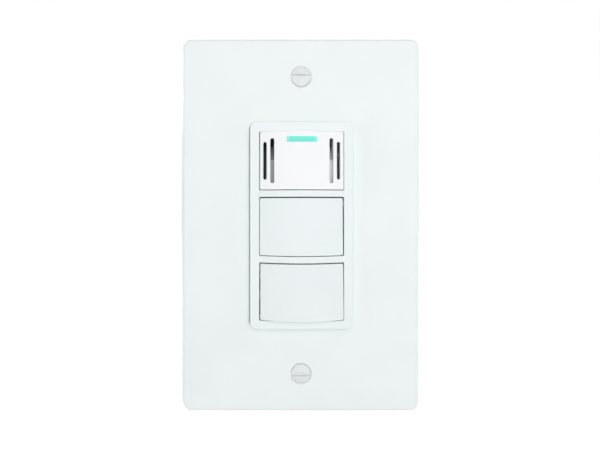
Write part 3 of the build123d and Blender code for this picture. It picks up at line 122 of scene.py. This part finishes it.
class Graph:
    """Small helper that adds and joins the nodes of one material."""

    def __init__(self, name):
        self.material = bpy.data.materials.new(name)
        self.material.use_nodes = True
        self.tree = self.material.node_tree
        self.tree.nodes.clear()
        self.output = self.add("ShaderNodeOutputMaterial")
        self.shader = self.add("ShaderNodeBsdfPrincipled")
        self.join(self.shader, "BSDF", self.output, "Surface")
        self.place = self.add("ShaderNodeTexCoord")

    def add(self, kind, **values):
        node = self.tree.nodes.new(kind)
        for key, value in values.items():
            setattr(node, key, value)
        return node

    def join(self, a, out, b, into):
        self.tree.links.new(a.outputs[out], b.inputs[into])

    def noise(self, scale, detail):
        node = self.add("ShaderNodeTexNoise")
        node.inputs["Scale"].default_value = scale
        node.inputs["Detail"].default_value = detail
        self.join(self.place, "Object", node, "Vector")
        return node

    def span(self, source, out, low, high):
        """Maps a pattern's middle band to the range from low to high."""
        node = self.add("ShaderNodeMapRange")
        node.inputs["From Min"].default_value = PATTERN_LOW
        node.inputs["From Max"].default_value = PATTERN_HIGH
        node.inputs["To Min"].default_value = low
        node.inputs["To Max"].default_value = high
        self.join(source, out, node, "Value")
        return node

    def colour(self, source, first, second):
        """Blends two base colours by a pattern."""
        node = self.add("ShaderNodeMix", data_type="RGBA")
        node.inputs["A"].default_value = first
        node.inputs["B"].default_value = second
        self.join(self.span(source, "Fac", 0.0, 1.0), "Result", node, "Factor")
        self.join(node, "Result", self.shader, "Base Color")

    def gloss(self, source, low, high):
        """Varies the roughness by a pattern."""
        self.join(self.span(source, "Fac", low, high), "Result", self.shader, "Roughness")

    def relief(self, source, strength):
        """Raises the surface by a pattern."""
        lump = self.add("ShaderNodeBump")
        lump.inputs["Strength"].default_value = strength
        lump.inputs["Distance"].default_value = BUMP_DISTANCE
        self.join(source, "Fac", lump, "Height")
        self.join(lump, "Normal", self.shader, "Normal")

    def set(self, **values):
        for key, value in values.items():
            self.shader.inputs[key.replace("_", " ")].default_value = value


def moulded(
    name, colour, other, rough, bump=0.02, grain=SKIN_SCALE, uneven=0.12, **values
):
    """Moulded plastic: faint cloud of tone, uneven gloss and a fine skin texture."""
    g = Graph(name)
    g.colour(g.noise(CLOUD_SCALE, detail=2.0), colour, other)
    g.gloss(g.noise(PATCH_SCALE, detail=1.0), rough * (1 - uneven), rough * (1 + uneven))
    g.relief(g.noise(grain, detail=2.0), bump)
    g.set(**values)
    return g.material


def white(name, colour, other, rough):
    """Even white plastic with a satin skin."""
    return moulded(name, colour, other, rough, bump=0.006, uneven=0.05, Specular_IOR_Level=0.4)


def metal(name, colour, other, rough):
    """Plated or rolled metal with fine streaks and uneven gloss."""
    g = Graph(name)
    streak = g.noise(STREAK_SCALE, detail=4.0)
    g.colour(streak, colour, other)
    g.gloss(streak, rough * STREAK_GLOSS[0], rough * STREAK_GLOSS[1])
    g.relief(streak, STREAK_RELIEF)
    g.set(Metallic=1.0)
    return g.material


def toned(material, name, axis, start, full, tint):
    """Copy of a look whose colour is multiplied by a tint past a place on one axis."""
    copy = material.copy()
    copy.name = name
    tree = copy.node_tree
    shader = next(n for n in tree.nodes if n.type == "BSDF_PRINCIPLED")
    colour = shader.inputs["Base Color"].links[0].from_socket
    place = next(n for n in tree.nodes if n.type == "TEX_COORD")
    split = tree.nodes.new("ShaderNodeSeparateXYZ")
    tree.links.new(place.outputs["Object"], split.inputs[0])
    ramp = tree.nodes.new("ShaderNodeMapRange")
    ramp.interpolation_type = "SMOOTHSTEP"
    ramp.inputs["From Min"].default_value = start
    ramp.inputs["From Max"].default_value = full
    tree.links.new(split.outputs[axis], ramp.inputs["Value"])
    mix = tree.nodes.new("ShaderNodeMix")
    mix.data_type = "RGBA"
    mix.blend_type = "MULTIPLY"
    mix.inputs["B"].default_value = tint
    tree.links.new(colour, mix.inputs["A"])
    tree.links.new(ramp.outputs["Result"], mix.inputs["Factor"])
    tree.links.new(mix.outputs["Result"], shader.inputs["Base Color"])
    return copy


# Looks by material slot of the record
looks = {
    "white_plate": white("white_plate", srgb(234, 240, 240), srgb(237, 242, 242), 0.42),
    "white_device": white("white_device", srgb(233, 240, 240), srgb(235, 241, 242), 0.4),
    "white_screw": moulded(
        "white_screw", srgb(222, 226, 227), srgb(230, 233, 234), 0.32, bump=0.04,
    ),
    "lens": moulded("lens", srgb(84, 236, 214), srgb(104, 246, 226), 0.12, bump=0.01),
    "white_inner": moulded("white_inner", srgb(222, 226, 224), srgb(228, 231, 229), 0.5),
    "zinc_steel": metal("zinc_steel", (0.6, 0.62, 0.63, 1), (0.72, 0.73, 0.74, 1), 0.32),
    "spring_steel": metal("spring_steel", (0.64, 0.64, 0.62, 1), (0.72, 0.72, 0.7, 1), 0.25),
    "fibre": moulded(
        "fibre", (0.33, 0.08, 0.05, 1), (0.42, 0.12, 0.07, 1), 0.75, bump=0.3, grain=FIBRE_SCALE,
    ),
    "green_paint": metal("green_paint", (0.02, 0.3, 0.08, 1), (0.04, 0.38, 0.12, 1), 0.35),
    "housing": moulded(
        "housing", (0.02, 0.022, 0.025, 1), (0.028, 0.03, 0.034, 1), 0.55, bump=0.2,
        Specular_IOR_Level=0.25,
    ),
    "board": moulded("board", (0.012, 0.09, 0.035, 1), (0.018, 0.12, 0.05, 1), 0.35, bump=0.1),
    "brass": metal("brass", (0.76, 0.56, 0.24, 1), (0.82, 0.63, 0.3, 1), 0.28),
    "nylon": moulded("nylon", srgb(226, 225, 214), srgb(232, 231, 221), 0.45),
    "black_plastic": moulded(
        "black_plastic", (0.012, 0.012, 0.012, 1), (0.018, 0.018, 0.018, 1), 0.45,
    ),
    "blue_plastic": moulded("blue_plastic", (0.02, 0.09, 0.35, 1), (0.03, 0.12, 0.4, 1), 0.4),
    "epoxy": moulded("epoxy", (0.012, 0.01, 0.009, 1), (0.02, 0.016, 0.014, 1), 0.2),
    "led_body": moulded("led_body", srgb(214, 240, 226), srgb(224, 246, 234), 0.15),
    "ceramic": moulded("ceramic", (0.1, 0.085, 0.07, 1), (0.14, 0.12, 0.1, 1), 0.5),
    "yellow_plastic": moulded("yellow_plastic", (0.6, 0.4, 0.03, 1), (0.66, 0.46, 0.05, 1), 0.4),
    "can": metal("can", (0.5, 0.51, 0.53, 1), (0.6, 0.61, 0.63, 1), 0.3),
    "varistor_coat": moulded("varistor_coat", (0.02, 0.08, 0.3, 1), (0.03, 0.1, 0.36, 1), 0.25),
    "fuse_body": moulded("fuse_body", (0.09, 0.03, 0.015, 1), (0.12, 0.04, 0.02, 1), 0.3),
}


def baffle_look():
    """White inner plastic that lies in shade left of the middle."""
    return toned(
        looks["white_inner"], "carrier_shaded", "X",
        BAFFLE_SHADE_REACH, -BAFFLE_SHADE_REACH, BAFFLE_SHADE,
    )


def lens_look():
    """Turquoise lens with painted shade along its lower edge and painted highlights at both ends.
    """
    lens = toned(
        # Painted shade on the lower edge, then painted highlights on the right and left ends
        looks["lens"], "lens_painted_shade", "Z", LENS_LOW_START, LENS_LOW_END, LENS_PAINTED_SHADE_TINT,
    )
    lens = toned(lens, "lens_right", "X", LENS_END_START, LENS_END_FULL, LENS_PAINTED_HIGHLIGHT_TINT)
    return toned(lens, "lens_painted_highlights", "X", -LENS_END_START, -LENS_END_FULL, LENS_PAINTED_HIGHLIGHT_TINT)


# Looks of single nodes that differ a little from their slot
own = {
    # Copies of the device's white as painted light: the sensor cover lighter as a painted
    # highlight, the light button and the fan button a little darker as painted shade, lightest at
    # the top and darkest lowest
    "sensor_cover": white("cover_painted_highlight", srgb(242, 244, 246), srgb(244, 246, 248), 0.4),
    "light_button": white("light_button", srgb(231, 238, 238), srgb(233, 239, 240), 0.4),
    "fan_button": white("fan_button", srgb(230, 236, 237), srgb(232, 237, 238), 0.4),
    "header_pins": metal("pin_tin", (0.3, 0.3, 0.29, 1), (0.38, 0.38, 0.36, 1), 0.4),
    "sensor_carrier": baffle_look(),
    "light_pipe": lens_look(),
}


def dress_nodes():
    """Gives every node of the frame its look."""
    for row in frame["record"]["subparts"]:
        cad = nodes[row["node"]]
        cad.data.materials.clear()
        cad.data.materials.append(own.get(row["node"], looks[row["material_slot"]]))


def lathe(bm, profile, sides):
    """Turns a list of (radius, height) points about Z."""
    rings = []
    for radius, height in profile:
        if radius == 0:
            rings.append([bm.verts.new((0, 0, height))])
            continue
        rings.append([
            bm.verts.new((
                radius * math.cos(2 * math.pi * k / sides),
                radius * math.sin(2 * math.pi * k / sides),
                height,
            ))
            for k in range(sides)
        ])
    for upper, lower in zip(rings, rings[1:]):
        for k in range(sides):
            n = (k + 1) % sides
            if len(upper) == 1:
                bm.faces.new((upper[0], lower[k], lower[n]))
            elif len(lower) == 1:
                bm.faces.new((upper[k], lower[0], upper[n]))
            else:
                bm.faces.new((upper[k], lower[k], lower[n], upper[n]))


def arc(cx, cz, radius, start, end, steps):
    """Points of an arc in the (radius, height) plane, angles in degrees."""
    points = []
    for k in range(steps + 1):
        a = math.radians(start + (end - start) * k / steps)
        points.append((cx + radius * math.cos(a), cz + radius * math.sin(a)))
    return points


def clamp(value):
    return min(1.0, max(0.0, value))


def thread_radius(angle, height, top, tip, major, depth, pitch):
    """Radius of a helical thread, running out under the head and closing at the tip."""
    phase = (height / pitch + angle / (2 * math.pi)) % 1.0
    ridge = clamp(RIDGE_SLOPE * (1 - abs(2 * phase - 1)) - RIDGE_SINK)
    grown = clamp((top - height) / (HEAD_RUN_OUT * pitch))
    closing = clamp((height - tip) / (TIP_RUN_OUT * pitch))
    core = (major - depth) * (TIP_CORE_SHARE + (1 - TIP_CORE_SHARE) * closing)
    share = HEAD_RIDGE_SHARE + (1 - HEAD_RIDGE_SHARE) * grown
    return core + (major - core) * ridge * closing * share


def threaded(bm, top, tip, major, depth, pitch):
    """Closed threaded shank along Z between two heights."""
    count = max(LEAST_ROWS, int((top - tip) / pitch * ROWS_PER_TURN))
    rings = []
    for row in range(count + 1):
        height = top + (tip - top) * row / count
        ring = []
        for k in range(SHANK_SIDES):
            angle = 2 * math.pi * k / SHANK_SIDES
            radius = thread_radius(angle, height, top, tip, major, depth, pitch)
            ring.append(bm.verts.new((radius * math.cos(angle), radius * math.sin(angle), height)))
        rings.append(ring)
    for upper, lower in zip(rings, rings[1:]):
        for k in range(SHANK_SIDES):
            n = (k + 1) % SHANK_SIDES
            bm.faces.new((upper[k], lower[k], lower[n], upper[n]))
    bm.faces.new(rings[0])
    bm.faces.new(list(reversed(rings[-1])))


def new_object(name, bm):
    """Linked object from a mesh in the making."""
    mesh = bpy.data.meshes.new(name)
    bmesh.ops.recalc_face_normals(bm, faces=bm.faces)
    bm.to_mesh(mesh)
    bm.free()
    ob = bpy.data.objects.new(name, mesh)
    bpy.context.scene.collection.objects.link(ob)
    return ob


def block(bm, length, width, low, high, taper=1.0, turn=0.0):
    """Box cutter turned about Z, its lower face scaled by the taper."""
    c, s = math.cos(turn), math.sin(turn)
    corners = []
    for z, k in ((high, 1.0), (low, taper)):
        for x, y in ((-1, -1), (1, -1), (1, 1), (-1, 1)):
            px, py = x * length / 2 * k, y * width / 2 * k
            corners.append(bm.verts.new((px * c - py * s, px * s + py * c, z)))
    for face in BLOCK_FACES:
        bm.faces.new([corners[k] for k in face])


def screw_head(name, profile, drive, ease):
    """Lathed head, sizes in millimetres, with its drive cut in and its edges eased."""
    bm = bmesh.new()
    lathe(bm, [(r * MM, z * MM) for r, z in profile], HEAD_SIDES)
    head = new_object(name + "_head", bm)
    bm = bmesh.new()
    for cut in drive:
        block(bm, **cut)
    cutter = new_object(name + "_cutter", bm)
    cut = head.modifiers.new("drive", "BOOLEAN")
    cut.operation = "DIFFERENCE"
    cut.solver = "EXACT"
    cut.use_self = True
    cut.object = cutter
    bevel = head.modifiers.new("ease", "BEVEL")
    bevel.width = ease * MM
    bevel.segments = 2
    bevel.limit_method = "ANGLE"
    bevel.angle_limit = math.radians(EASE_DEGREES)
    bpy.context.view_layer.update()
    made = bpy.data.meshes.new_from_object(
        head.evaluated_get(bpy.context.evaluated_depsgraph_get())
    )
    for ob in (head, cutter):
        bpy.data.objects.remove(ob)
    return made


def shank(top, tip, major, depth, pitch):
    """Sizes of a threaded shank, from millimetres to metres."""
    return [size * MM for size in (top, tip, major, depth, pitch)]


def screws(node, spots, axis_to, head, thread, look):
    """One piece of several equal screws that stands for a CAD node."""
    bm = bmesh.new()
    for spot in spots:
        one = bmesh.new()
        one.from_mesh(head)
        threaded(one, *thread)
        one.transform(Matrix.Translation(Vector(spot) * MM) @ axis_to(spot))
        copy = bpy.data.meshes.new("copy")
        one.to_mesh(copy)
        one.free()
        bm.from_mesh(copy)
        bpy.data.meshes.remove(copy)
    piece = new_object(node + "_turned", bm)
    for face in piece.data.polygons:
        face.use_smooth = True
    piece.data.set_sharp_from_angle(angle=math.radians(SMOOTH_DEGREES))
    piece.data.materials.append(looks[look])
    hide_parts(node)
    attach(piece, "device")


def to_room(spot):
    """Screw axis pointing out of the wall, its slot lying level."""
    return Matrix.Rotation(math.radians(90), 4, "X")


def to_wall(spot):
    """Screw axis pointing into the wall."""
    return Matrix.Rotation(math.radians(-90), 4, "X")


def to_side(spot):
    """Screw axis pointing outwards, to the side that the screw is on."""
    return Matrix.Rotation(math.radians(90 if spot[0] > 0 else -90), 4, "Y")


def dome(radius, height):
    """Profile of a spherical cap from its middle nearly to its rim."""
    ball = (radius**2 + height**2) / (2 * height)
    points = []
    for k in range(DOME_STEPS_KEPT + 1):
        r = radius * k / DOME_STEPS
        points.append((r, height - ball + math.sqrt(ball**2 - r**2)))
    return points


def pan(radius, height, edge):
    """Profile of a pan head from its middle to its bearing face."""
    return (
        [(0, height), (radius * 0.35, height), (radius * 0.7, height)]
        + arc(radius - edge, height - edge, edge, start=90, end=0, steps=EDGE_STEPS)
        + [(radius, 0), (radius * 0.5, 0), (0, 0)]
    )


def necked(profile, radius, length):
    """Pan head profile with a plain neck under its bearing face."""
    return profile[:-2] + [(radius, 0), (radius, -length), (0, -length)]


def slot_drive(radius, height, width, depth):
    """Straight slot right across a head."""
    return [{
        "length": SLOT_OVERRUN * radius * MM, "width": width * MM,
        "low": (height - depth) * MM, "high": (height + SLOT_OVERSHOOT) * MM,
    }]


def cross_drive(reach, width, height, depth):
    """Cross recess whose walls slope inwards."""
    return [
        {
            "length": 2 * reach * MM, "width": width * MM,
            "low": (height - depth) * MM, "high": (height + CROSS_OVERSHOOT) * MM,
            "taper": CROSS_TAPER, "turn": math.radians(turn),
        }
        for turn in (0, 90)
    ]


def pairs(x, seat, z):
    """Four spots, left and right, below and above."""
    return [(side * x, seat, end * z) for side in (-1, 1) for end in (-1, 1)]


def plate_screws():
    """Oval heads: a low dome, a rounded rim and the countersunk cone below it."""
    radius, rise, rim, cone, neck, sink = 3.35, 0.9, 0.28, 3.1, 1.75, 1.84
    profile = (
        dome(radius, rise)
        + arc(cx=2.82, cz=0, radius=rim, start=72, end=0, steps=RIM_STEPS)
        + [(cone, -rim), (neck, -sink), (0, -sink)]
    )
    head = screw_head(
        "plate_screw", profile, slot_drive(radius, rise, width=1.3, depth=1.2), ease=0.05,
    )
    spots = [(0, PLATE_SCREW_SEAT, PLATE_SCREW_Z), (0, PLATE_SCREW_SEAT, -PLATE_SCREW_Z)]
    thread = shank(top=-1.8, tip=-12.7, major=1.75, depth=0.45, pitch=FINE_PITCH)
    screws("plate_screws", spots, to_room, head, thread, "white_screw")


def device_screws():
    """Pan heads with a combined drive, each on a plain neck."""
    radius, height = 3.4, 2.0
    head = screw_head(
        "device_screw", necked(pan(radius, height, edge=0.6), radius=1.5, length=2.0),
        cross_drive(1.7, 0.9, height, depth=1.3) + slot_drive(radius, height, 0.7, depth=0.6),
        ease=0.05,
    )
    spots = [(0, DEVICE_SCREW_SEAT, DEVICE_SCREW_Z), (0, DEVICE_SCREW_SEAT, -DEVICE_SCREW_Z)]
    thread = shank(top=-2.0, tip=-25.0, major=1.75, depth=0.45, pitch=FINE_PITCH)
    screws("device_screws", spots, to_room, head, thread, "zinc_steel")


def housing_screws():
    """Small pan heads that hold the housing to the frame."""
    head = screw_head(
        "housing_screw", pan(radius=1.9, height=1.5, edge=0.5),
        cross_drive(reach=1.1, width=0.6, height=1.5, depth=0.9), ease=0.03,
    )
    spots = pairs(HOUSING_SCREW_X, HOUSING_SCREW_SEAT, HOUSING_SCREW_Z)
    thread = shank(top=0, tip=-9.0, major=1.25, depth=0.35, pitch=0.9)
    screws("housing_screws", spots, to_room, head, thread, "zinc_steel")


def board_screws():
    """Small pan heads that hold the boards to their standoffs."""
    head = screw_head(
        "board_screw", pan(radius=1.8, height=1.2, edge=0.4),
        cross_drive(reach=1.1, width=0.6, height=1.2, depth=0.8), ease=0.03,
    )
    spots = pairs(BOARD_SCREW_X, BOARD_SCREW_SEAT, BOARD_SCREW_Z)
    thread = shank(top=0, tip=-7.0, major=1.0, depth=0.25, pitch=0.5)
    screws("board_screws", spots, to_room, head, thread, "zinc_steel")


def earth_screw():
    """Pan head with a combined drive, painted green."""
    radius, height = 3.1, 2.2
    head = screw_head(
        "earth_screw", pan(radius, height, edge=0.5),
        slot_drive(radius, height, 0.9, depth=1.1) + cross_drive(1.5, 0.8, height, depth=1.2),
        ease=0.05,
    )
    thread = shank(top=0, tip=-2.9, major=2.05, depth=0.45, pitch=FINE_PITCH)
    screws("earth_screw", [EARTH_SCREW_PLACE], to_wall, head, thread, "green_paint")


def terminal_screws():
    """Pan heads with a combined drive, two on each side."""
    radius, height = 3.5, 2.0
    head = screw_head(
        "terminal_screw", pan(radius, height, edge=0.5),
        slot_drive(radius, height, 0.9, depth=1.1) + cross_drive(1.6, 0.8, height, depth=1.2),
        ease=0.05,
    )
    spots = pairs(TERMINAL_SCREW_X, TERMINAL_SCREW_Y, TERMINAL_SCREW_Z)
    thread = shank(top=0, tip=-3.1, major=1.95, depth=0.45, pitch=FINE_PITCH)
    screws("terminal_screws", spots, to_side, head, thread, "brass")


def white_to_eye(tree):
    """Factor that is 1 for camera, glossy and transmission rays."""
    rays = tree.nodes.new("ShaderNodeLightPath")
    first = tree.nodes.new("ShaderNodeMath")
    first.operation = "MAXIMUM"
    both = tree.nodes.new("ShaderNodeMath")
    both.operation = "MAXIMUM"
    tree.links.new(rays.outputs["Is Camera Ray"], first.inputs[0])
    tree.links.new(rays.outputs["Is Glossy Ray"], first.inputs[1])
    tree.links.new(first.outputs[0], both.inputs[0])
    tree.links.new(rays.outputs["Is Transmission Ray"], both.inputs[1])
    return both


def floor_look():
    """Pale floor that keeps the shadow near the object and fades to white further off."""
    g = Graph("floor")
    g.set(Base_Color=(FLOOR_GREY, FLOOR_GREY, FLOOR_GREY, 1), Roughness=0.9)
    g.set(Specular_IOR_Level=0.0)
    glow = g.add("ShaderNodeEmission")
    glow.inputs["Color"].default_value = (1, 1, 1, 1)
    reach = g.add("ShaderNodeVectorMath", operation="LENGTH")
    g.join(g.place, "Object", reach, "Vector")
    haze = g.add("ShaderNodeMapRange", interpolation_type="SMOOTHSTEP")
    haze.inputs["From Min"].default_value = HAZE_START
    haze.inputs["From Max"].default_value = HAZE_END
    haze.inputs["To Min"].default_value = FLOOR_GLOW
    haze.inputs["To Max"].default_value = 1.0
    g.join(reach, "Value", haze, "Value")
    strength = g.add("ShaderNodeMath", operation="MULTIPLY")
    g.join(haze, "Result", strength, 0)
    g.join(white_to_eye(g.tree), "Value", strength, 1)
    g.join(strength, "Value", glow, "Strength")
    both = g.add("ShaderNodeAddShader")
    g.join(g.shader, 0, both, 0)
    g.join(glow, 0, both, 1)
    g.join(both, 0, g.output, "Surface")
    return g.material


def build_floor():
    """Large level floor below the object."""
    mesh = bpy.data.meshes.new("floor")
    corners = ((-1, -1), (1, -1), (1, 1), (-1, 1))
    mesh.from_pydata(
        [(x * FLOOR_REACH, y * FLOOR_REACH, FLOOR_Z) for x, y in corners], [], [(0, 1, 2, 3)],
    )
    mesh.materials.append(floor_look())
    floor = bpy.data.objects.new("floor", mesh)
    bpy.context.scene.collection.objects.link(floor)


def build_world():
    """Soft fill light that the eye and mirrors see as plain white."""
    world = bpy.data.worlds.new("studio")
    bpy.context.scene.world = world
    world.use_nodes = True
    tree = world.node_tree
    tree.nodes.clear()
    choose = tree.nodes.new("ShaderNodeMixShader")
    tree.links.new(white_to_eye(tree).outputs[0], choose.inputs[0])
    for socket, strength in ((1, FILL), (2, 1.0)):
        sky = tree.nodes.new("ShaderNodeBackground")
        sky.inputs["Color"].default_value = (1, 1, 1, 1)
        sky.inputs["Strength"].default_value = strength
        tree.links.new(sky.outputs[0], choose.inputs[socket])
    out = tree.nodes.new("ShaderNodeOutputWorld")
    tree.links.new(choose.outputs[0], out.inputs["Surface"])


def lamp(name, place, size, power):
    """Round area lamp that shines at the middle of the object."""
    data = bpy.data.lights.new(name, "AREA")
    data.shape = "DISK"
    data.size = size
    data.energy = power
    ob = bpy.data.objects.new(name, data)
    bpy.context.scene.collection.objects.link(ob)
    ob.location = place
    toward = Vector(AIM) - Vector(place)
    ob.rotation_euler = toward.to_track_quat("-Z", "Y").to_euler()


def build_camera():
    """Camera at the place from which the photo was taken."""
    camera = bpy.data.cameras.new("camera")
    camera.sensor_width = SENSOR_WIDTH
    camera.lens = FOCAL_LENGTH
    camera.shift_x = SHIFT_X
    camera.shift_y = SHIFT_Y
    camera.clip_start = CLIP_START
    eye = bpy.data.objects.new("camera", camera)
    bpy.context.scene.collection.objects.link(eye)
    eye.location = EYE_PLACE
    eye.rotation_euler = (math.radians(90), 0, 0)
    bpy.context.scene.camera = eye
    bpy.context.scene.view_settings.view_transform = "Standard"


dress_nodes()
plate_screws()
device_screws()
housing_screws()
board_screws()
earth_screw()
terminal_screws()
build_floor()
build_world()
lamp("key", place=(0.1, -1.1, 0.2), size=1.6, power=2.8)
lamp("near", place=(0.08, -0.45, 0.05), size=0.5, power=0.95)
lamp("left", place=(-1.1, -0.3, 0), size=0.8, power=4.0)
lamp("right", place=(1.1, -0.3, 0), size=0.8, power=2.9)
lamp("top", place=(0, -0.35, 1.1), size=0.8, power=1.0)
lamp("back", place=(-0.5, 0.9, 0.6), size=0.9, power=5.0)
build_camera()
